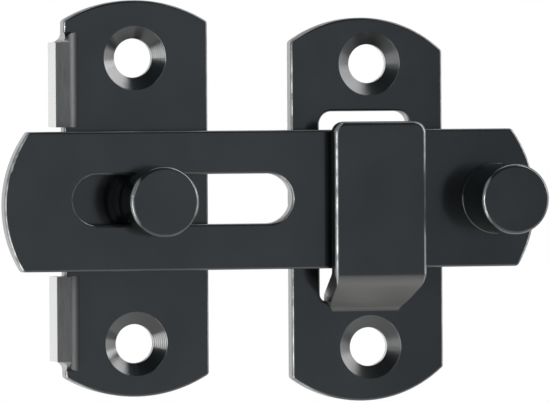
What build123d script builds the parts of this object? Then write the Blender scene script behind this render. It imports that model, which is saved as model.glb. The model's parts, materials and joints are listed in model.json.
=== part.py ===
from build123d import *
import os
from math import radians, sqrt, tan

# Slide-and-flip bar latch for a door: two screw plates, a slotted bar on a riveted stud, and a hook
# folded out of the keeper plate. Millimetres, as mounted on a wall of +Y: X runs along the bar to the
# right, Z is up, the back of both plates lies on Y = 0 and everything stands forward, towards -Y.
# "Depth" below is the distance in front of the plates' backs. The origin is midway between the door
# plate's two screw holes.

# Sheet and screws
sheet = 2.0                 # thickness of both stamped plates, with their tabs and hook
edge_round = 0.35           # rounding that blanking and coating leave on the front edges
corner_round = 0.6          # outline corners where an end arc meets a straight side
screw_spacing = 40.0        # between the two screw holes of either plate
screw_hole_d = 5.5
countersink_d = 9.0
countersink_depth = 1.1

# Door plate
door_left = 10.25           # from the screw line to the plate's left edge
door_right = 10.55
door_above_screw = 8.1      # from the upper screw hole to the crown of the upper end
door_below_screw = 7.4
door_arc_radius = 20.0      # shallow arc that closes each end
tab_near = 10.4             # the tabs reach from here to tab_far, above and below the bar's centre line
tab_far = 22.25
tab_outside = 1.9           # the tab's outer face stands this far outside the plate's left edge
tab_bend = 2.0              # hollow bend radius
tab_heel = 0.4              # the bend is coined nearly square at the back
tab_root = 1.4              # hollow rounding where a tab's outer end meets the plate's edge
tab_clearance = 0.25        # between the tabs' tips and the back of the bar

# Stud and collar
stud_x = 1.5                # stud axis, to the right of the screw line
stud_neck_d = 6.4
stud_head_d = 9.85
stud_head_height = 5.1
collar_d = 9.6
collar_height = 2.95
turning_clearance = 0.05    # radial, collar on stud
face_gap = 0.1              # between faces that slide on each other
rivet_d = 5.0               # tails of the stud and of the knob
rivet_flare_d = 6.8
rivet_flare_depth = 0.9
rivet_recess = 0.1          # the peened ends stay just below the surface
rivet_fit = 0.02            # radial gap left round a riveted tail

# Bar and knob, measured along the bar from the stud's axis
bar_thickness = 2.0
bar_height = 19.45
bar_left = 21.62
bar_past_knob = 6.1         # from the knob's axis to the bar's right end
bar_arc_radius = 17.2
bar_crown_drop = 0.8        # the end arcs peak this far below the slot's centre line
slot_rise = 0.18            # the slot's centre line lies this far above mid-height
bar_lift = 0.25             # the hook holds the slot's centre line this far above the stud's axis
slot_left = 11.8
slot_right = 19.9
slot_clearance = 0.3        # between the stud's neck and either side of the slot
knob_reach = 49.5           # stud axis to knob axis
knob_drop = 0.28            # the knob's axis lies this far below the slot's centre line
knob_d = 9.8
knob_height = 10.2
knob_foot_d = 10.1          # thin flange on which the knob stands
knob_foot_height = 0.9
rim_round = 0.5             # rounded rim of the stud's head and of the knob

# Keeper plate and its hook
keeper_x = 33.45            # centre line of the window and hook, from the door plate's screw line
keeper_left = 10.75         # from that line to the plate's left edge
keeper_right = 11.5
keeper_crown_shift = 0.4    # the end arcs peak this far to the left of that line
keeper_screw_shift = 0.75   # the screw holes sit this far to the right of it
keeper_drop = 0.95          # and this much lower than the door plate's
keeper_above_screw = 6.5
keeper_below_screw = 7.6
keeper_arc_radius = 17.5
window_width = 13.2
window_corner = 1.8         # upper corners
relief_corner = 1.0         # lower corners, beside the root
window_over_strap = 1.4     # from the strap's free end up to the window's upper edge
strap_width = 13.4          # the strap spreads a little as it is pressed flat
strap_over_bar = 1.15       # the strap's free end stands this far above the bar
strap_gap = 0.95            # room between the bar's front and the strap
strap_corner = 1.7
strap_edge_round = 0.6
rest_gap = 0.7              # from the bar's lower edge down to the leg, at the strap
front_bend = 0.4            # inner radius where the leg turns up into the strap
leg_fall = 25.0             # degrees that the leg falls from the strap towards the plate
root_bend = 1.0             # hollow radius where the leg leaves the plate
root_inset = 1.05           # the leg narrows by this much on either side, down to the window's lower edge
root_end_inset = 1.95       # and by this much where the root bend runs out
root_below_window = 1.6     # the root bend starts this far below the window

# Depth of each layer, from the plates' backs forward
collar_back = sheet + face_gap
bar_back = collar_back + collar_height + face_gap
bar_front = bar_back + bar_thickness
head_back = bar_front + face_gap
tab_tip = bar_back - tab_clearance
strap_back = bar_front + strap_gap

# Derived places
slot_height = stud_neck_d + 2 * slot_clearance
knob_z = bar_lift - knob_drop
bar_top = bar_lift + bar_height / 2 - slot_rise
bar_bottom = bar_top - bar_height
strap_top = bar_top + strap_over_bar
bar_right = knob_reach + bar_past_knob
keeper_screw_x = keeper_x + keeper_screw_shift
leg_top = bar_bottom - rest_gap
leg_root = leg_top - strap_back * tan(radians(leg_fall))
root_start = leg_root - (root_bend + sheet) * tan(radians(90 - leg_fall) / 2)
window_top = strap_top + window_over_strap
window_bottom = root_start + root_below_window
through = 1.0               # cutters run this far past the faces that they cut

# Front view: local x is X, local y is Z, and local z is depth.
FRONT = Plane.XZ


def arc_ended(near, far, low, high, radius, crown, upright):
    """Face with two straight sides, low and high. Its near and far ends are arcs that peak on a crown line.

    It runs along X, or along Z when it is upright.
    """
    low_sag = radius - sqrt(radius**2 - (crown - low) ** 2)
    high_sag = radius - sqrt(radius**2 - (high - crown) ** 2)
    outline = [
        (near + low_sag, low),
        (far - low_sag, low),
        (far, crown),
        (far - high_sag, high),
        (near + high_sag, high),
        (near, crown),
    ]
    if upright:
        outline = [(across, along) for along, across in outline]
    low_near, low_far, far_crown, high_far, high_near, near_crown = outline
    with BuildSketch() as sketch:
        with BuildLine():
            Line(low_near, low_far)
            ThreePointArc(low_far, far_crown, high_far)
            Line(high_far, high_near)
            ThreePointArc(high_near, near_crown, low_near)
        make_face()
        fillet(sketch.vertices(), corner_round)
    return sketch.sketch


def stamped(face, back, thickness):
    """Blank of the given face between two depths, with its front outline softened."""
    blank = extrude(FRONT.offset(back) * face, thickness, dir=FRONT.z_dir)
    front_edges = blank.edges().group_by(Axis.Y)[0]
    return fillet(front_edges, min(edge_round, thickness * 0.3))


def peg(x, z, back, front, radius, front_radius=None):
    """Round cutter or body along the depth axis, tapered if a second radius is given."""
    place = FRONT * Pos(x, z, (back + front) / 2)
    if front_radius is None:
        return place * Cylinder(radius, front - back)
    return place * Cone(radius, front_radius, front - back)


def screw_holes(x, z):
    """Cutter for the two countersunk screw holes of a plate, centred on a point of its screw line."""
    cutter = []
    cone_slope = (countersink_d - screw_hole_d) / 2 / countersink_depth
    for hole_z in (z - screw_spacing / 2, z + screw_spacing / 2):
        cutter.append(peg(x, hole_z, -through, sheet + through, screw_hole_d / 2))
        cone_mouth = countersink_d / 2 + through * cone_slope
        cutter.append(
            peg(x, hole_z, sheet - countersink_depth, sheet + through, screw_hole_d / 2, cone_mouth)
        )
    return cutter


def rivet_tail(x, z, back, front, spread=0.0):
    """Peened tail, flared at the back. With a spread it is the cutter for the tail's own hole."""
    radius = rivet_d / 2 + spread
    flare_radius = rivet_flare_d / 2 + spread
    flare_front = back + rivet_recess + rivet_flare_depth + spread
    end = back - through if spread else back + rivet_recess
    stem = peg(x, z, end, front, radius)
    flare = peg(x, z, back + rivet_recess, flare_front, flare_radius, radius)
    if spread:
        flare += peg(x, z, end, back + rivet_recess, flare_radius)
    return stem + flare


def turned_head(x, z, back, diameter, height):
    """Plain round head with a rounded front rim."""
    head = peg(x, z, back, back + height, diameter / 2)
    front_rim = head.edges().group_by(Axis.Y)[0]
    return fillet(front_rim, min(rim_round, height * 0.3))


def tab(side):
    """Tab bent forward off the door plate's left edge, above the bar (side 1) or below it (side -1).

    Its outer end runs into the plate's edge with a hollow root and slopes down to the plate.
    """
    outer_x = -door_left - tab_outside
    inner_x = outer_x + sheet
    plate_x = inner_x + tab_bend + sheet
    with BuildSketch() as section:
        with BuildLine():
            FilletPolyline((outer_x, -tab_tip), (outer_x, 0), (plate_x, 0), radius=tab_heel)
            FilletPolyline((plate_x, -sheet), (inner_x, -sheet), (inner_x, -tab_tip), radius=tab_bend)
            Line((plate_x, 0), (plate_x, -sheet))
            Line((inner_x, -tab_tip), (outer_x, -tab_tip))
        make_face()
    end = tab_far + tab_root
    strip = Pos(0, 0, side * tab_near) * extrude(section.sketch, side * (end - tab_near))
    hollow_x = -door_left - tab_root
    strip -= peg(hollow_x, side * end, -through, tab_tip + through, tab_root)
    outside = hollow_x - outer_x + through
    strip -= FRONT * Pos(hollow_x - outside / 2, side * (end - tab_root / 2)) * Box(
        outside, tab_root, 2 * (tab_tip + through)
    )
    slope = Plane.YZ * make_face(Polyline(
        (-sheet, side * end),
        (-tab_tip, side * tab_far),
        (-tab_tip, side * end),
        close=True,
    ))
    return strip - extrude(slope, 2 * door_left, both=True)


def door_plate():
    """Left plate: screw holes, the stud's riveted hole, and the two tabs beside the bar."""
    outline = arc_ended(
        -screw_spacing / 2 - door_below_screw,
        screw_spacing / 2 + door_above_screw,
        -door_left,
        door_right,
        door_arc_radius,
        crown=0,
        upright=True,
    )
    plate = stamped(outline, 0, sheet)
    plate -= screw_holes(0, 0)
    plate -= rivet_tail(stud_x, 0, 0, sheet + through, rivet_fit)
    return plate + tab(1) + tab(-1)


def pivot_stud():
    """Turned stud riveted to the door plate: head in front of the bar, neck through its slot."""
    head = turned_head(stud_x, 0, head_back, stud_head_d, stud_head_height)
    neck = peg(stud_x, 0, sheet, head_back, stud_neck_d / 2)
    return head + neck + rivet_tail(stud_x, 0, 0, sheet)


def spacer_collar():
    """Loose ring on the stud's neck that carries the bar clear of the tabs."""
    collar_front = collar_back + collar_height
    ring = peg(stud_x, 0, collar_back, collar_front, collar_d / 2)
    bore = stud_neck_d / 2 + turning_clearance
    return ring - peg(stud_x, 0, collar_back - through, collar_front + through, bore)


def slide_bar():
    """Flat bar with arced ends, a long slot for the stud and the knob's riveted hole."""
    outline = arc_ended(
        stud_x - bar_left,
        stud_x + bar_right,
        bar_bottom,
        bar_top,
        bar_arc_radius,
        crown=bar_lift - bar_crown_drop,
        upright=False,
    )
    slot_x = stud_x + (slot_right - slot_left) / 2
    slot = Pos(slot_x, bar_lift) * SlotOverall(slot_left + slot_right, slot_height)
    bar = stamped(outline - slot, bar_back, bar_thickness)
    return bar - rivet_tail(stud_x + knob_reach, knob_z, bar_back, bar_front + through, rivet_fit)


def pull_knob():
    """Turned knob on a thin foot, riveted to the bar, for the fingers."""
    knob_x = stud_x + knob_reach
    head = turned_head(knob_x, knob_z, bar_front, knob_d, knob_height)
    foot = turned_head(knob_x, knob_z, bar_front, knob_foot_d, knob_foot_height)
    return head + foot + rivet_tail(knob_x, knob_z, bar_back, bar_front)


def root_taper(side):
    """Cutter that narrows the hook's leg down to its root, on the right (side 1) or left (side -1)."""
    edge = strap_width / 2
    slope = (leg_top - window_bottom) / root_inset
    outline = [
        (edge + through, leg_top + through * slope),
        (edge - root_inset, window_bottom),
        (edge - root_end_inset, root_start),
        (edge - root_end_inset, root_start - through),
        (edge + through, root_start - through),
    ]
    face = make_face(Polyline(*[(keeper_x + side * x, z) for x, z in outline], close=True))
    return extrude(FRONT * face, strap_back + 2 * sheet, both=True)


def hook():
    """Strap lanced from the window: hollow root bend, falling leg that widens, then up to a free end."""
    with BuildSketch(Plane.YZ.offset(keeper_x - strap_width / 2)) as section:
        with BuildLine():
            FilletPolyline(
                (-strap_back, strap_top),
                (-strap_back, leg_top),
                (0, leg_root),
                (0, root_start - through),
                radius=[front_bend, root_bend + sheet],
            )
            offset(amount=sheet, side=Side.RIGHT)
        make_face()
    strip = extrude(section.sketch, strap_width)
    height = strap_top - root_start
    outline = Pos(keeper_x, strap_top - height / 2) * Rectangle(strap_width, height)
    outline = fillet(outline.vertices().group_by(Axis.Y)[-1], strap_corner)
    strip &= extrude(FRONT * outline, strap_back + 2 * sheet)
    front_edges = strip.edges().group_by(Axis.Y)[0].sort_by(Axis.Z)[1:]
    return fillet(front_edges, strap_edge_round) - root_taper(1) - root_taper(-1)


def keeper_plate():
    """Right plate: screw holes, the window and the hook that the bar drops into."""
    outline = arc_ended(
        -keeper_drop - screw_spacing / 2 - keeper_below_screw,
        -keeper_drop + screw_spacing / 2 + keeper_above_screw,
        keeper_x - keeper_left,
        keeper_x + keeper_right,
        keeper_arc_radius,
        crown=keeper_x - keeper_crown_shift,
        upright=True,
    )
    window_height = window_top - window_bottom
    window = Pos(keeper_x, (window_top + window_bottom) / 2) * Rectangle(window_width, window_height)
    window = fillet(window.vertices().group_by(Axis.Y)[-1], window_corner)
    window = fillet(window.vertices().group_by(Axis.Y)[0], relief_corner)
    plate = stamped(outline - window, 0, sheet)
    plate -= screw_holes(keeper_screw_x, -keeper_drop)
    return plate + hook()


pieces = {
    "door_plate": door_plate,
    "pivot_stud": pivot_stud,
    "spacer_collar": spacer_collar,
    "slide_bar": slide_bar,
    "pull_knob": pull_knob,
    "keeper_plate": keeper_plate,
}

os.makedirs("parts", exist_ok=True)
for name, make in pieces.items():
    export_step(make(), f"parts/{name}.step")
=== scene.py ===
"""Black slide-and-flip bar latch: finishes for its steel pieces, and a plain white studio around it."""
import json
import math

import bpy
from bpy.props import FloatProperty, PointerProperty, StringProperty
from bpy.types import Operator, Panel, PropertyGroup
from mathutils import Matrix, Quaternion, Vector


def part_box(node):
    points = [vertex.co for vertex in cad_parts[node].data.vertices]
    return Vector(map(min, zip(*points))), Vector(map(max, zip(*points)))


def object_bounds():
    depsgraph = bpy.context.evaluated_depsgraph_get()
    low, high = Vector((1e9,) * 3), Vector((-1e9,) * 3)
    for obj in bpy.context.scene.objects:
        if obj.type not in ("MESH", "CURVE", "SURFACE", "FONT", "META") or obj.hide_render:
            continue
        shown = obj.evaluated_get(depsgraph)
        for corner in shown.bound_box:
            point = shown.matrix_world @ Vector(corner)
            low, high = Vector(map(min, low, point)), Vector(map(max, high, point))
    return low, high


bl_info = {
    "name": "Bar latch finish",
    "version": (1, 0, 0),
    "blender": (4, 5, 0),
    "location": "3D View > Sidebar > Latch",
    "description": "Coats the pieces of a slide-and-flip bar latch and sets up its studio",
    "category": "Object",
}

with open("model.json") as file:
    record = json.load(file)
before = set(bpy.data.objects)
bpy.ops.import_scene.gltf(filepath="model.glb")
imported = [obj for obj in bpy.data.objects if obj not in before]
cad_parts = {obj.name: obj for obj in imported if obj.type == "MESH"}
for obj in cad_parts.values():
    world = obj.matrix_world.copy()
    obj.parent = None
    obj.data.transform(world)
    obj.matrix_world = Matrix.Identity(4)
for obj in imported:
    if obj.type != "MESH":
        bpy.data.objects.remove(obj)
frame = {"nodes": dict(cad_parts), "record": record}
CAD_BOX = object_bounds()
MM = 0.001

# Sockets of the Mix node, whose names repeat.
FACTOR = 0
FLOAT_A, FLOAT_B = 2, 3
VECTOR_A, VECTOR_B, VECTOR_RESULT = 4, 5, 1
COLOUR_A, COLOUR_B, COLOUR_RESULT = 6, 7, 2

# Baked polyester and epoxy powders lie between 1.5 and 1.6.
COAT_IOR = 1.6

# A wall's normal leans less than this towards the front or the back.
WALL_LEAN = 0.3

# A face looks right from this share of its normal.
LOOKS_RIGHT = 0.5

# Shares of a normal at which a finish starts and is whole: in the tabs' bends, under the hook's leg, and on
# rounded edges, sideways and to the front.
BEND_LEAN = (0.0, 0.2)
LEG_LEAN = (-0.1, -0.75)
EDGE_LEAN = (0.15, 0.4)
EDGE_FRONT = (-0.3, -0.5)

# Thickness of the plates, and how far past their fronts the hook starts.
SHEET = 2.0 * MM
HOOK_START = 0.3 * MM

# The countersinks' radius at the front, and half of the width over which their finish ends.
SINK_RADIUS = 4.5 * MM
SINK_BLEND = 0.1 * MM

# The door plate's tabs, from its left side: where the outer side, the inner side and the bend end.
TAB_OUTER = 0.5 * MM
TAB_INNER = 2.5 * MM
TAB_BEND = 4.5 * MM

# How far back the finish of the tabs' tips reaches.
TAB_TIP = 0.2 * MM

# A turned piece's rim starts this far in from its side, and is whole this much further out.
RIM_WIDTH = 0.5 * MM
RIM_BLEND = 0.15 * MM

# It is whole to this depth behind the front, and ends at the next.
RIM_WHOLE = 0.3 * MM
RIM_DEPTH = 0.5 * MM

# The steel on a rim, worn and painted as a highlight, starts this far to the side of its axis, as a share of
# its radius.
RIM_SHEEN_AND_WEAR_START = 0.75

# Widths of the coat's patches of tone and of gloss, and of the scuffs on worn edges.
TONE_PATCH = 9.0 * MM
GLOSS_PATCH = 3.5 * MM
SCUFF = 1.4 * MM

# Nearly all of a noise lies between these, and a scuff goes from slight to full between the next two.
NOISE = (0.3, 0.7)
SCUFF_NOISE = (0.35, 0.65)

# Darkest and palest patch of the coat and of a cut edge, as shares of its colour.
COAT_TONES = (0.5, 1.6)
CUT_TONES = (0.8, 1.3)

# How far the coat's roughness strays from its mean.
GLOSS_SPREAD = 0.025

# Wear in the slightest scuff, as a share of that in the deepest.
LEAST_WEAR = 0.4

# Scale of the shear streaks along their length, against 1 across it.
STREAK_STRETCH = 0.06

# Steel shown on edges and rims that turn to the right, as a share of that on those that turn to the left. It
# is wear on both sides, and the extra steel on the left is a painted highlight of the left lamps.
RIGHT_WEAR_AND_SHEEN = 0.25

# The middle of the dim room, from the latch: in front, above and a little to the left.
ROOM = Vector((-0.3, -0.6, 0.74)).normalized()

# Cosines of the angle from there at which the white sweep begins, and at which the room turns cool.
SWEEP_EDGE = -0.35
COOL_EDGE, COOL_WHOLE = 0.1, 0.5

SENSOR_MM = 36.0
FLOOR_RADIUS = 0.2
WHITE = (1.0, 1.0, 1.0, 1.0)

# Each softbox: direction from the latch, distance, width, height, and brightness in units of the backdrop.
SOFTBOXES = {
    # Shows on rounded left edges, at the left of the rims and at the right of each countersink.
    "left strip": ((-0.785, -0.59, -0.19), 0.6, 0.08, 0.37, 14.0),
    # Shows as the crescent at the lower left of each countersink and at the upper right of the rims.
    "right key": ((0.77, -0.28, 0.57), 0.6, 0.22, 0.68, 7.5),
    # Shows inside the tabs' bends, at the left of each countersink and at the right of the rims.
    "right panel": ((0.97, -0.26, 0.05), 0.6, 0.7, 0.32, 2.3),
    # Mirrored by the walls that face left: the tabs' outer sides and the bar's left end.
    "left backdrop": ((-0.3, 0.96, 0.0), 0.6, 0.4, 0.6, 1.75),
    # Mirrored by the walls that face up.
    "overhead": ((0.2, 0.3, 0.93), 0.6, 0.4, 0.4, 2.0),
    # Mirrored faintly by the flat fronts, which makes their black a dark grey.
    "front card": ((0.15, -0.989, 0.0), 0.61, 0.22, 0.3, 0.31),
}


def linear(hex_colour):
    """Linear RGBA of an sRGB colour written as six hex digits."""
    channels = []
    for i in (0, 2, 4):
        value = int(hex_colour[i:i + 2], 16) / 255
        low = value <= 0.04045
        channels.append(value / 12.92 if low else ((value + 0.055) / 1.055) ** 2.4)
    return (*channels, 1.0)


def add_node(tree, kind, settings=None, inputs=None):
    """Adds a node, sets its properties, then links or sets its inputs. A node given as an input links its
    first output."""
    node = tree.nodes.new(kind)
    for name, value in (settings or {}).items():
        setattr(node, name, value)
    for key, value in (inputs or {}).items():
        source = value.outputs[0] if isinstance(value, bpy.types.Node) else value
        if isinstance(source, bpy.types.NodeSocket):
            tree.links.new(source, node.inputs[key])
        else:
            node.inputs[key].default_value = source
    return node


class LatchFinish(PropertyGroup):
    """Colours and surface of the coated steel."""

    coat_colour: StringProperty(
        name="Coat colour", description="sRGB hex of the black coat", default="101213"
    )
    coat_roughness: FloatProperty(
        name="Coat roughness", description="Gloss of the satin coat", default=0.16, min=0.05, max=0.9
    )
    cut_colour: StringProperty(
        name="Cut edge colour", description="sRGB hex of the thin coat on sheared edges", default="4a4b4b"
    )
    cut_roughness: FloatProperty(
        name="Cut edge roughness", description="Gloss of sheared edges", default=0.42, min=0.05, max=0.9
    )
    bend_roughness: FloatProperty(
        name="Bend roughness", description="Gloss of the coat inside a bend", default=0.37, min=0.05, max=0.9
    )
    # The leg's pale, warm colour is a painted reflection of the floor's light.
    strained_and_floorlit_colour: StringProperty(
        name="Strained colour", description="sRGB hex of the coat where bending stretched the sheet",
        default="4e4e4c",
    )
    strained_roughness: FloatProperty(
        name="Strained roughness", description="Gloss of the coat where bending stretched the sheet",
        default=0.6, min=0.05, max=0.9,
    )
    dull_sink_roughness: FloatProperty(
        name="Dull countersink roughness", description="Gloss of the coat in the keeper's countersinks",
        default=0.28, min=0.05, max=0.9,
    )
    # Pale steel, whose paleness on the left edges and rims also paints their highlights.
    worn_steel_and_sheen_colour: StringProperty(
        name="Worn edge colour", description="sRGB hex of steel that shows where an edge is rubbed",
        default="c2c3c1",
    )
    worn_roughness: FloatProperty(
        name="Worn edge roughness", description="Gloss of the rubbed edges of the sheet",
        default=0.34, min=0.05, max=0.9,
    )
    rim_roughness: FloatProperty(
        name="Rim roughness", description="Gloss of the rubbed rim of a turned piece",
        default=0.2, min=0.05, max=0.9,
    )
    # Steel along the sheet's edges: wear, and on left-turning edges also a painted highlight.
    edge_wear_and_sheen: FloatProperty(
        name="Edge wear", description="Most of the coat that is gone along an edge of the sheet",
        default=1.0, min=0.0, max=1.0,
    )
    # Steel on the rims of stud and knob: wear, and at their left also a painted highlight.
    rim_wear_and_sheen: FloatProperty(
        name="Rim wear", description="Most of the coat that is gone along the rim of the stud or knob",
        default=1.0, min=0.0, max=1.0,
    )
    peel_size: FloatProperty(
        name="Orange peel", description="Width of the coat's orange-peel bumps",
        default=0.5 * MM, unit="LENGTH",
    )
    peel_height: FloatProperty(
        name="Orange peel height", description="Height of those bumps", default=0.003 * MM, unit="LENGTH"
    )
    # Real shear streaks and tool rings are under 0.1 mm wide. They are drawn coarser so that they show.
    streak_width: FloatProperty(
        name="Shear streaks", description="Width of the streaks that a punch drags over a cut edge",
        default=0.18 * MM, unit="LENGTH",
    )
    streak_height: FloatProperty(
        name="Shear streak height", description="Height of those streaks", default=0.007 * MM, unit="LENGTH"
    )
    ring_pitch: FloatProperty(
        name="Tool rings", description="Spacing of the rings that a lathe or countersink leaves",
        default=0.25 * MM, unit="LENGTH",
    )
    ring_height: FloatProperty(
        name="Tool ring height", description="Height of those rings", default=0.0012 * MM, unit="LENGTH"
    )


class LatchStage(PropertyGroup):
    """Camera and studio light."""

    azimuth: FloatProperty(
        name="Azimuth", description="Camera angle, to the left when negative",
        default=math.radians(-16.0), subtype="ANGLE",
    )
    elevation: FloatProperty(
        name="Elevation", description="Camera angle above level",
        default=math.radians(1.0), subtype="ANGLE",
    )
    roll: FloatProperty(
        name="Roll", description="Turn of the camera about its own axis",
        default=math.radians(-0.33), subtype="ANGLE",
    )
    distance: FloatProperty(
        name="Distance", description="From the camera to the latch", default=1.0, unit="LENGTH"
    )
    view_width: FloatProperty(
        name="View width", description="Width that the picture takes in at the latch",
        default=0.07736, unit="LENGTH",
    )
    target_x: FloatProperty(
        name="Target X", description="Point of the latch in the middle of the picture",
        default=0.02026, unit="LENGTH",
    )
    target_y: FloatProperty(
        name="Target Y", description="Depth of that point: the fronts of the plates",
        default=-0.002, unit="LENGTH",
    )
    target_z: FloatProperty(
        name="Target Z", description="Height of the middle of the picture", default=-0.0002, unit="LENGTH"
    )
    floor_drop: FloatProperty(
        name="Floor drop", description="From the lower ends of the plates to the floor",
        default=0.08, unit="LENGTH",
    )
    floor_colour: StringProperty(
        name="Floor colour", description="sRGB hex of the floor's matt paint", default="f4f4f4"
    )
    floor_glow: FloatProperty(
        name="Floor glow", description="Brightness of the floor where no lamp reaches it",
        default=0.5, min=0.0, max=1.0,
    )
    dim_room: FloatProperty(
        name="Dim room", description="Brightness of the darkest part of the room, in front and above",
        default=0.1, min=0.0, max=1.0,
    )
    room_colour: StringProperty(
        name="Room colour", description="sRGB hex of the cool light from the room", default="dcf1ff"
    )
    fill: FloatProperty(
        name="Fill", description="Soft light from all round", default=0.35, min=0.0, max=2.0
    )


def new_material(name):
    """Empty node material, with its output node and the node whose coordinates its patterns read."""
    material = bpy.data.materials.new(name)
    material.use_nodes = True
    tree = material.node_tree
    tree.nodes.clear()
    output = add_node(tree, "ShaderNodeOutputMaterial")
    place = add_node(tree, "ShaderNodeTexCoord")
    return material, tree, output, place


def satin_skin(tree, place):
    """Colour, roughness and bump of satin black powder coat on a rolled or turned face.

    The powder melts out almost smooth as it is baked. The eye sees a near-black face that mirrors the studio
    softly, with a faint orange-peel skin and slow changes of tone and gloss.
    """
    finish = bpy.context.scene.latch_finish
    point = place.outputs["Object"]
    cloud = add_node(tree, "ShaderNodeTexNoise", inputs={
        "Vector": point, "Scale": 1 / TONE_PATCH, "Detail": 3.0,
    })
    tone = add_node(tree, "ShaderNodeMapRange", inputs={
        "Value": cloud, "From Min": NOISE[0], "From Max": NOISE[1],
        "To Min": COAT_TONES[0], "To Max": COAT_TONES[1],
    })
    colour = add_node(tree, "ShaderNodeVectorMath", {"operation": "SCALE"}, {
        0: linear(finish.coat_colour)[:3], "Scale": tone,
    })
    patch = add_node(tree, "ShaderNodeTexNoise", inputs={
        "Vector": point, "Scale": 1 / GLOSS_PATCH, "Detail": 4.0,
    })
    gloss = add_node(tree, "ShaderNodeMapRange", inputs={
        "Value": patch, "From Min": NOISE[0], "From Max": NOISE[1],
        "To Min": finish.coat_roughness - GLOSS_SPREAD, "To Max": finish.coat_roughness + GLOSS_SPREAD,
    })
    peel = add_node(tree, "ShaderNodeTexNoise", inputs={
        "Vector": point, "Scale": 1 / finish.peel_size, "Detail": 2.0,
    })
    bump = add_node(tree, "ShaderNodeBump", inputs={"Distance": finish.peel_height, "Height": peel})
    return colour.outputs[0], gloss, bump


def cut_walls(tree, place, node_name):
    """1 on the walls that a punch sheared through the sheet, 0 on rolled faces."""
    facing = add_node(tree, "ShaderNodeSeparateXYZ", inputs={0: place.outputs["Normal"]})
    lean = add_node(tree, "ShaderNodeMath", {"operation": "ABSOLUTE"}, {0: facing.outputs["Y"]})
    walls = add_node(tree, "ShaderNodeMath", {"operation": "LESS_THAN"}, {0: lean, 1: WALL_LEAN})
    if node_name == "slide_bar":
        return walls

    low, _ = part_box(node_name)
    at = add_node(tree, "ShaderNodeSeparateXYZ", inputs={0: place.outputs["Object"]})
    if node_name == "keeper_plate":
        # Lancing and folding smoothed the hook's edges, so the coat on them is as dark as on its faces.
        flat = add_node(tree, "ShaderNodeMath", {"operation": "GREATER_THAN"}, {
            0: at.outputs["Y"], 1: -(SHEET + HOOK_START),
        })
        return add_node(tree, "ShaderNodeMath", {"operation": "MULTIPLY"}, {0: walls, 1: flat})

    # The tabs are bent forward, so their broad sides are rolled faces and their tips are cut.
    past_outer = add_node(tree, "ShaderNodeMath", {"operation": "GREATER_THAN"}, {
        0: at.outputs["X"], 1: low.x + TAB_OUTER,
    })
    past_inner = add_node(tree, "ShaderNodeMath", {"operation": "GREATER_THAN"}, {
        0: at.outputs["X"], 1: low.x + TAB_INNER,
    })
    not_right = add_node(tree, "ShaderNodeMath", {"operation": "LESS_THAN"}, {
        0: facing.outputs["X"], 1: LOOKS_RIGHT,
    })
    not_inner = add_node(tree, "ShaderNodeMath", {"operation": "MAXIMUM"}, {0: past_inner, 1: not_right})
    sheared = add_node(tree, "ShaderNodeMath", {"operation": "MULTIPLY"}, {0: past_outer, 1: not_inner})
    walls = add_node(tree, "ShaderNodeMath", {"operation": "MULTIPLY"}, {0: walls, 1: sheared})
    tips = add_node(tree, "ShaderNodeMath", {"operation": "LESS_THAN"}, {
        0: at.outputs["Y"], 1: low.y + TAB_TIP,
    })
    return add_node(tree, "ShaderNodeMath", {"operation": "MAXIMUM"}, {0: walls, 1: tips})


def tab_bends(tree, place):
    """1 inside the bends of the door plate's tabs, which face right."""
    at = add_node(tree, "ShaderNodeSeparateXYZ", inputs={0: place.outputs["Object"]})
    facing = add_node(tree, "ShaderNodeSeparateXYZ", inputs={0: place.outputs["Normal"]})
    inward = add_node(tree, "ShaderNodeMapRange", {"interpolation_type": "SMOOTHSTEP"}, {
        "Value": facing.outputs["X"], "From Min": BEND_LEAN[0], "From Max": BEND_LEAN[1],
    })
    beside_tab = add_node(tree, "ShaderNodeMath", {"operation": "LESS_THAN"}, {
        0: at.outputs["X"], 1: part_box("door_plate")[0].x + TAB_BEND,
    })
    return add_node(tree, "ShaderNodeMath", {"operation": "MULTIPLY"}, {0: inward, 1: beside_tab})


def hook_leg(tree, place):
    """1 on the outer side of the hook's leg, which faces down in front of the keeper's plate."""
    at = add_node(tree, "ShaderNodeSeparateXYZ", inputs={0: place.outputs["Object"]})
    facing = add_node(tree, "ShaderNodeSeparateXYZ", inputs={0: place.outputs["Normal"]})
    below = add_node(tree, "ShaderNodeMapRange", {"interpolation_type": "SMOOTHSTEP"}, {
        "Value": facing.outputs["Z"], "From Min": LEG_LEAN[0], "From Max": LEG_LEAN[1],
    })
    raised = add_node(tree, "ShaderNodeMapRange", inputs={
        "Value": at.outputs["Y"], "From Min": -SHEET, "From Max": -(SHEET + HOOK_START),
    })
    return add_node(tree, "ShaderNodeMath", {"operation": "MULTIPLY"}, {0: below, 1: raised})


def screw_radius(tree, place, mount_name):
    """Distance from the nearer of a plate's two screw axes."""
    mount = next(mount for mount in frame["record"]["mounts"] if mount["name"] == mount_name)
    x, _, z = mount["pos_m"]
    half_spacing = mount["dims"]["spacing_y_mm"] * MM / 2
    at = add_node(tree, "ShaderNodeVectorMath", {"operation": "SUBTRACT"}, {
        0: place.outputs["Object"], 1: (x, 0.0, z),
    })
    folded = add_node(tree, "ShaderNodeVectorMath", {"operation": "ABSOLUTE"}, {0: at})
    centred = add_node(tree, "ShaderNodeVectorMath", {"operation": "SUBTRACT"}, {
        0: folded, 1: (0.0, 0.0, half_spacing),
    })
    flat = add_node(tree, "ShaderNodeVectorMath", {"operation": "MULTIPLY"}, {0: centred, 1: (1.0, 0.0, 1.0)})
    return add_node(tree, "ShaderNodeVectorMath", {"operation": "LENGTH"}, {0: flat}).outputs["Value"]


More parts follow.
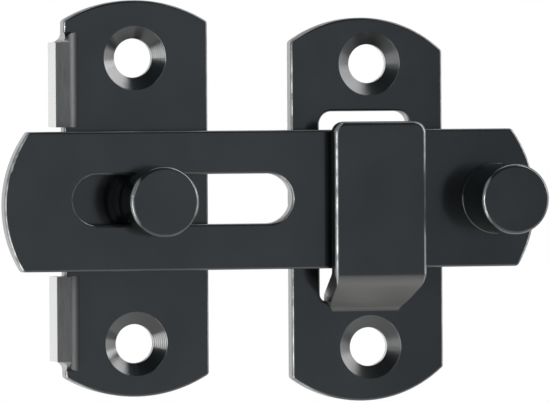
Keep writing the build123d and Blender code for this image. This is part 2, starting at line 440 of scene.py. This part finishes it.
def countersinks(tree, place, mount_name):
    """A mask that is 1 in a plate's countersinks, and the rings that their tool left."""
    finish = bpy.context.scene.latch_finish
    radius = screw_radius(tree, place, mount_name)
    sunk = add_node(tree, "ShaderNodeMapRange", inputs={
        "Value": radius, "From Min": SINK_RADIUS - SINK_BLEND, "From Max": SINK_RADIUS + SINK_BLEND,
        "To Min": 1.0, "To Max": 0.0,
    })
    turns = add_node(tree, "ShaderNodeMath", {"operation": "MULTIPLY"}, {
        0: radius, 1: math.tau / finish.ring_pitch,
    })
    wave = add_node(tree, "ShaderNodeMath", {"operation": "SINE"}, {0: turns})
    rings = add_node(tree, "ShaderNodeMath", {"operation": "MULTIPLY"}, {0: wave, 1: sunk})
    return sunk, rings


def worn_and_sheen_edges(tree, place):
    """1 on rounded edges that turn to the left, and RIGHT_WEAR_AND_SHEEN on those that turn to the right:
    worn steel, and on the left also a painted highlight.
    """
    facing = add_node(tree, "ShaderNodeSeparateXYZ", inputs={0: place.outputs["Normal"]})
    left = add_node(tree, "ShaderNodeMapRange", {"interpolation_type": "SMOOTHSTEP"}, {
        "Value": facing.outputs["X"], "From Min": -EDGE_LEAN[0], "From Max": -EDGE_LEAN[1],
    })
    right = add_node(tree, "ShaderNodeMapRange", {"interpolation_type": "SMOOTHSTEP"}, {
        "Value": facing.outputs["X"], "From Min": EDGE_LEAN[0], "From Max": EDGE_LEAN[1],
        "To Max": RIGHT_WEAR_AND_SHEEN,
    })
    turned = add_node(tree, "ShaderNodeMath", {"operation": "ADD"}, {0: left, 1: right})
    rounded = add_node(tree, "ShaderNodeMapRange", {"interpolation_type": "SMOOTHSTEP"}, {
        "Value": facing.outputs["Y"], "From Min": EDGE_FRONT[0], "From Max": EDGE_FRONT[1],
    })
    return add_node(tree, "ShaderNodeMath", {"operation": "MULTIPLY"}, {0: turned, 1: rounded})


def rubbed_through(tree, place, edge, wear):
    """How much steel shows along an edge: patches that reach wear at most, from 0 to 1."""
    scuffs = add_node(tree, "ShaderNodeTexNoise", inputs={
        "Vector": place.outputs["Object"], "Scale": 1 / SCUFF, "Detail": 4.0,
    })
    rubbed = add_node(tree, "ShaderNodeMapRange", inputs={
        "Value": scuffs, "From Min": SCUFF_NOISE[0], "From Max": SCUFF_NOISE[1],
        "To Min": LEAST_WEAR * wear, "To Max": wear,
    })
    return add_node(tree, "ShaderNodeMath", {"operation": "MULTIPLY"}, {0: edge, 1: rubbed})


def coat_over_steel(tree, output, skin, worn, edge, edge_roughness):
    """Shader of the coat. Steel shows as far as it is worn, and the gloss changes along the whole edge."""
    colour, gloss, bump = skin
    finish = bpy.context.scene.latch_finish
    colour = add_node(tree, "ShaderNodeMix", {"data_type": "VECTOR"}, {
        FACTOR: worn, VECTOR_A: colour, VECTOR_B: linear(finish.worn_steel_and_sheen_colour)[:3],
    })
    gloss = add_node(tree, "ShaderNodeMix", {"data_type": "FLOAT"}, {
        FACTOR: edge, FLOAT_A: gloss, FLOAT_B: edge_roughness,
    })
    shader = add_node(tree, "ShaderNodeBsdfPrincipled", inputs={
        "Base Color": colour.outputs[VECTOR_RESULT], "Roughness": gloss, "Metallic": worn,
        "IOR": COAT_IOR, "Normal": bump,
    })
    tree.links.new(shader.outputs["BSDF"], output.inputs["Surface"])


def coated_sheet(name, node_name, mount_name=None):
    """Stamped sheet steel under satin black powder coat.

    Its faces are smooth and satin. The coat is thin on cut walls, so these are paler, rougher and streaked
    across the sheet. Countersinks keep the rings of their tool, and steel shows along rubbed edges, most on
    those that turn left, where it is also a painted highlight.
    """
    finish = bpy.context.scene.latch_finish
    material, tree, output, place = new_material(name)
    colour, gloss, bump = satin_skin(tree, place)
    walls = cut_walls(tree, place, node_name)

    # Streaks run with the punch, through the thickness, and along the door plate's tabs at their tips.
    along_tabs = STREAK_STRETCH if node_name == "door_plate" else 1.0
    drawn = add_node(tree, "ShaderNodeMapping", inputs={
        "Vector": place.outputs["Object"], "Scale": (1.0, STREAK_STRETCH, along_tabs),
    })
    streaks = add_node(tree, "ShaderNodeTexNoise", inputs={
        "Vector": drawn, "Scale": 1 / finish.streak_width, "Detail": 3.0,
    })
    shade = add_node(tree, "ShaderNodeMapRange", inputs={
        "Value": streaks, "From Min": NOISE[0], "From Max": NOISE[1],
        "To Min": CUT_TONES[0], "To Max": CUT_TONES[1],
    })
    cut_colour = add_node(tree, "ShaderNodeVectorMath", {"operation": "SCALE"}, {
        0: linear(finish.cut_colour)[:3], "Scale": shade,
    })
    colour = add_node(tree, "ShaderNodeMix", {"data_type": "VECTOR"}, {
        FACTOR: walls, VECTOR_A: colour, VECTOR_B: cut_colour,
    }).outputs[VECTOR_RESULT]
    gloss = add_node(tree, "ShaderNodeMix", {"data_type": "FLOAT"}, {
        FACTOR: walls, FLOAT_A: gloss, FLOAT_B: finish.cut_roughness,
    })
    relief = add_node(tree, "ShaderNodeMath", {"operation": "MULTIPLY"}, {0: streaks, 1: walls})
    bump = add_node(tree, "ShaderNodeBump", inputs={
        "Distance": finish.streak_height, "Height": relief, "Normal": bump,
    })

    # Rubbing reaches the outer edges, but not a countersink or the inside of a bend.
    # The edge mask is heavier on edges that turn left, a painted highlight as well as wear.
    edge = worn_and_sheen_edges(tree, place)
    if node_name == "door_plate":
        # The coat is duller inside the tabs' bends, so their highlights are broad.
        bends = tab_bends(tree, place)
        gloss = add_node(tree, "ShaderNodeMix", {"data_type": "FLOAT"}, {
            FACTOR: bends, FLOAT_A: gloss, FLOAT_B: finish.bend_roughness,
        })
        edge = add_node(tree, "ShaderNodeMath", {"operation": "SUBTRACT", "use_clamp": True}, {
            0: edge, 1: bends,
        })
    if node_name == "keeper_plate":
        # Bending stretched the hook's leg, so its outer side is matt. Its paler, warmer colour is a painted
        # reflection of the light from the floor below.
        leg = hook_leg(tree, place)
        colour = add_node(tree, "ShaderNodeMix", {"data_type": "VECTOR"}, {
            FACTOR: leg, VECTOR_A: colour, VECTOR_B: linear(finish.strained_and_floorlit_colour)[:3],
        }).outputs[VECTOR_RESULT]
        gloss = add_node(tree, "ShaderNodeMix", {"data_type": "FLOAT"}, {
            FACTOR: leg, FLOAT_A: gloss, FLOAT_B: finish.strained_roughness,
        })
    if mount_name:
        sunk, rings = countersinks(tree, place, mount_name)
        bump = add_node(tree, "ShaderNodeBump", inputs={
            "Distance": finish.ring_height, "Height": rings, "Normal": bump,
        })
        edge = add_node(tree, "ShaderNodeMath", {"operation": "SUBTRACT", "use_clamp": True}, {
            0: edge, 1: sunk,
        })
        if node_name == "keeper_plate":
            # The keeper's countersinks are duller than the door plate's, with softer crescents of light.
            gloss = add_node(tree, "ShaderNodeMix", {"data_type": "FLOAT"}, {
                FACTOR: sunk, FLOAT_A: gloss, FLOAT_B: finish.dull_sink_roughness,
            })

    worn = rubbed_through(tree, place, edge, finish.edge_wear_and_sheen)
    coat_over_steel(tree, output, (colour, gloss, bump), worn, edge, finish.worn_roughness)
    return material


def coated_turning(name, node_name, wear):
    """Turned steel under the same coat.

    Faint tool rings run around the piece's axis. Fingers that push the bar rub the front rim, and steel shows
    there in patches, more at its left than at its right; the extra steel at the left is a painted highlight
    of the left lamps. wear is the most that shows, from 0 to 1.
    """
    finish = bpy.context.scene.latch_finish
    material, tree, output, place = new_material(name)
    colour, gloss, bump = satin_skin(tree, place)

    low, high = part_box(node_name)
    centre = (low + high) / 2
    from_axis = add_node(tree, "ShaderNodeVectorMath", {"operation": "SUBTRACT"}, {
        0: place.outputs["Object"], 1: centre,
    })
    at = add_node(tree, "ShaderNodeSeparateXYZ", inputs={0: from_axis})
    flat = add_node(tree, "ShaderNodeVectorMath", {"operation": "MULTIPLY"}, {
        0: from_axis, 1: (1.0, 0.0, 1.0),
    })
    radius = add_node(tree, "ShaderNodeVectorMath", {"operation": "LENGTH"}, {0: flat}).outputs["Value"]
    lathe = add_node(tree, "ShaderNodeCombineXYZ", inputs={"X": radius, "Y": at.outputs["Y"]})
    rings = add_node(tree, "ShaderNodeTexNoise", inputs={
        "Vector": lathe, "Scale": 1 / finish.ring_pitch, "Detail": 2.0,
    })
    bump = add_node(tree, "ShaderNodeBump", inputs={
        "Distance": finish.ring_height, "Height": rings, "Normal": bump,
    })

    rim_radius = (high.x - low.x) / 2 - RIM_WIDTH
    front_y = low.y - centre.y
    outer = add_node(tree, "ShaderNodeMapRange", inputs={
        "Value": radius, "From Min": rim_radius, "From Max": rim_radius + RIM_BLEND,
    })
    front = add_node(tree, "ShaderNodeMapRange", inputs={
        "Value": at.outputs["Y"], "From Min": front_y + RIM_DEPTH, "From Max": front_y + RIM_WHOLE,
    })
    rim = add_node(tree, "ShaderNodeMath", {"operation": "MULTIPLY"}, {0: outer, 1: front})
    left = add_node(tree, "ShaderNodeMapRange", {"interpolation_type": "SMOOTHSTEP"}, {
        "Value": at.outputs["X"], "From Min": -RIM_SHEEN_AND_WEAR_START * rim_radius, "From Max": -rim_radius,
    })
    right = add_node(tree, "ShaderNodeMapRange", {"interpolation_type": "SMOOTHSTEP"}, {
        "Value": at.outputs["X"], "From Min": RIM_SHEEN_AND_WEAR_START * rim_radius, "From Max": rim_radius,
        "To Max": RIGHT_WEAR_AND_SHEEN,
    })
    # More steel at the left of the rim than at its right: a painted highlight as well as wear.
    rubbed_and_lit_sides = add_node(tree, "ShaderNodeMath", {"operation": "ADD"}, {0: left, 1: right})
    rubbed = add_node(tree, "ShaderNodeMath", {"operation": "MULTIPLY"}, {0: rim, 1: rubbed_and_lit_sides})
    worn = rubbed_through(tree, place, rubbed, wear)
    coat_over_steel(tree, output, (colour, gloss, bump), worn, rim, finish.rim_roughness)
    return material


def coat(node_name, material):
    """Gives a CAD node one material."""
    slots = frame["nodes"][node_name].data.materials
    slots.clear()
    slots.append(material)


class LATCH_OT_coat_sheets(Operator):
    """Coats the stamped plates and the bar"""

    bl_idname = "latch.coat_sheets"
    bl_label = "Coat plates and bar"

    def execute(self, context):
        steel = "satin black powder coat on sheet steel"
        coat("door_plate", coated_sheet(f"{steel}, door plate", "door_plate", "door_plate_screws"))
        coat("keeper_plate", coated_sheet(f"{steel}, keeper", "keeper_plate", "keeper_plate_screws"))
        coat("slide_bar", coated_sheet(f"{steel}, bar", "slide_bar"))
        return {"FINISHED"}


class LATCH_OT_coat_turned(Operator):
    """Coats the turned stud, knob and collar"""

    bl_idname = "latch.coat_turned"
    bl_label = "Coat stud, knob and collar"

    def execute(self, context):
        steel = "satin black powder coat on turned steel"
        wear = context.scene.latch_finish.rim_wear_and_sheen
        coat("pivot_stud", coated_turning(f"{steel}, stud", "pivot_stud", wear))
        coat("pull_knob", coated_turning(f"{steel}, knob", "pull_knob", wear))
        # No finger reaches the collar.
        coat("spacer_collar", coated_turning(f"{steel}, collar", "spacer_collar", wear=0.0))
        return {"FINISHED"}


def white_world():
    """White sweep behind, beside and below the latch. The unlit room in front and above is dim and cool.

    The pieces mirror that studio, a soft fill lights them, and the camera sees white everywhere.
    """
    stage = bpy.context.scene.latch_stage
    world = bpy.data.worlds.new("white studio")
    bpy.context.scene.world = world
    world.use_nodes = True
    tree = world.node_tree
    tree.nodes.clear()
    path = add_node(tree, "ShaderNodeLightPath")
    place = add_node(tree, "ShaderNodeTexCoord")
    facing = add_node(tree, "ShaderNodeVectorMath", {"operation": "DOT_PRODUCT"}, {
        0: place.outputs["Generated"], 1: ROOM,
    }).outputs["Value"]
    sweep = add_node(tree, "ShaderNodeMapRange", inputs={
        "Value": facing, "From Min": SWEEP_EDGE, "From Max": 1.0, "To Min": 1.0, "To Max": stage.dim_room,
    })
    cool = add_node(tree, "ShaderNodeMapRange", inputs={
        "Value": facing, "From Min": COOL_EDGE, "From Max": COOL_WHOLE,
    })
    tint = add_node(tree, "ShaderNodeMix", {"data_type": "RGBA"}, {
        FACTOR: cool, COLOUR_A: WHITE, COLOUR_B: linear(stage.room_colour),
    }).outputs[COLOUR_RESULT]
    seen = add_node(tree, "ShaderNodeMath", {"operation": "ADD", "use_clamp": True}, {
        0: path.outputs["Is Camera Ray"], 1: path.outputs["Is Transmission Ray"],
    })
    fill = add_node(tree, "ShaderNodeBackground", inputs={"Color": WHITE, "Strength": stage.fill})
    mirrored = add_node(tree, "ShaderNodeBackground", inputs={"Color": tint, "Strength": sweep})
    white = add_node(tree, "ShaderNodeBackground", inputs={"Color": WHITE, "Strength": 1.0})
    lit = add_node(tree, "ShaderNodeMixShader", inputs={
        0: path.outputs["Is Glossy Ray"], 1: fill, 2: mirrored,
    })
    shown = add_node(tree, "ShaderNodeMixShader", inputs={0: seen, 1: lit, 2: white})
    add_node(tree, "ShaderNodeOutputWorld", inputs={"Surface": shown})


def target_point():
    """Point of the latch in the middle of the picture."""
    stage = bpy.context.scene.latch_stage
    return Vector((stage.target_x, stage.target_y, stage.target_z))


def place_camera():
    """Camera to the left of the latch's front, that takes in view_width at the latch."""
    scene = bpy.context.scene
    stage = scene.latch_stage
    direction = Vector((
        math.sin(stage.azimuth) * math.cos(stage.elevation),
        -math.cos(stage.azimuth) * math.cos(stage.elevation),
        math.sin(stage.elevation),
    ))
    data = bpy.data.cameras.new("photo camera")
    data.sensor_width = SENSOR_MM
    data.lens = SENSOR_MM * stage.distance / stage.view_width
    data.clip_start = 0.01
    camera = bpy.data.objects.new("photo camera", data)
    camera.location = target_point() + direction * stage.distance
    aim = (-direction).to_track_quat("-Z", "Y")
    camera.rotation_euler = (aim @ Quaternion((0, 0, 1), stage.roll)).to_euler()
    scene.collection.objects.link(camera)
    scene.camera = camera


def hang_softbox(name, direction, distance, width, height, brightness):
    """Area lamp that faces the latch and that the camera doesn't see."""
    lamp = bpy.data.lights.new(name, "AREA")
    lamp.shape = "RECTANGLE"
    lamp.size = width
    lamp.size_y = height
    lamp.energy = brightness * math.pi * width * height
    holder = bpy.data.objects.new(name, lamp)
    away = Vector(direction).normalized()
    holder.location = target_point() + away * distance
    holder.rotation_euler = (-away).to_track_quat("-Z", "Y").to_euler()
    holder.visible_camera = False
    bpy.context.scene.collection.objects.link(holder)


def lay_floor():
    """White floor below the latch: matt paint that keeps the latch's shadow, and glows a little so that it
    stays near white in the picture and in mirror images."""
    stage = bpy.context.scene.latch_stage
    bpy.ops.object.select_all(action="DESELECT")
    bpy.ops.mesh.primitive_circle_add(
        vertices=96, radius=FLOOR_RADIUS, fill_type="NGON",
        location=(stage.target_x, 0.0, CAD_BOX[0][2] - stage.floor_drop),
    )
    floor = bpy.context.active_object
    floor.name = "studio_floor"
    bpy.ops.object.transform_apply(location=True, rotation=True, scale=True)

    material, tree, output, _ = new_material("matt white paint, studio floor")
    path = add_node(tree, "ShaderNodeLightPath")
    seen = add_node(tree, "ShaderNodeMath", {"operation": "ADD"}, {
        0: path.outputs["Is Camera Ray"], 1: path.outputs["Is Glossy Ray"],
    })
    seen = add_node(tree, "ShaderNodeMath", {"operation": "ADD"}, {
        0: seen, 1: path.outputs["Is Transmission Ray"],
    })
    glow = add_node(tree, "ShaderNodeMath", {"operation": "MULTIPLY"}, {0: seen, 1: stage.floor_glow})
    paint = add_node(tree, "ShaderNodeBsdfDiffuse", inputs={"Color": linear(stage.floor_colour)})
    backlit = add_node(tree, "ShaderNodeEmission", inputs={"Strength": glow})
    both = add_node(tree, "ShaderNodeAddShader", inputs={0: paint, 1: backlit})
    tree.links.new(both.outputs[0], output.inputs["Surface"])
    floor.data.materials.append(material)


class LATCH_OT_build_stage(Operator):
    """Adds the white studio, the camera, the lamps and the floor"""

    bl_idname = "latch.build_stage"
    bl_label = "Build stage"

    def execute(self, context):
        context.scene.view_settings.view_transform = "Standard"
        white_world()
        place_camera()
        for name, softbox in SOFTBOXES.items():
            hang_softbox(name, *softbox)
        lay_floor()
        return {"FINISHED"}


class LATCH_PT_panel(Panel):
    """Buttons for the latch's finish and stage"""

    bl_idname = "LATCH_PT_panel"
    bl_label = "Bar latch"
    bl_space_type = "VIEW_3D"
    bl_region_type = "UI"
    bl_category = "Latch"

    def draw(self, context):
        for operator in OPERATORS:
            self.layout.operator(operator.bl_idname)


OPERATORS = (LATCH_OT_coat_sheets, LATCH_OT_coat_turned, LATCH_OT_build_stage)
CLASSES = (LatchFinish, LatchStage, *OPERATORS, LATCH_PT_panel)


def register():
    for item in CLASSES:
        bpy.utils.register_class(item)
    bpy.types.Scene.latch_finish = PointerProperty(type=LatchFinish)
    bpy.types.Scene.latch_stage = PointerProperty(type=LatchStage)


def unregister():
    del bpy.types.Scene.latch_stage
    del bpy.types.Scene.latch_finish
    for item in reversed(CLASSES):
        bpy.utils.unregister_class(item)


def main():
    register()
    bpy.ops.latch.coat_sheets()
    bpy.ops.latch.coat_turned()
    bpy.ops.latch.build_stage()


if __name__ == "__main__":
    main()
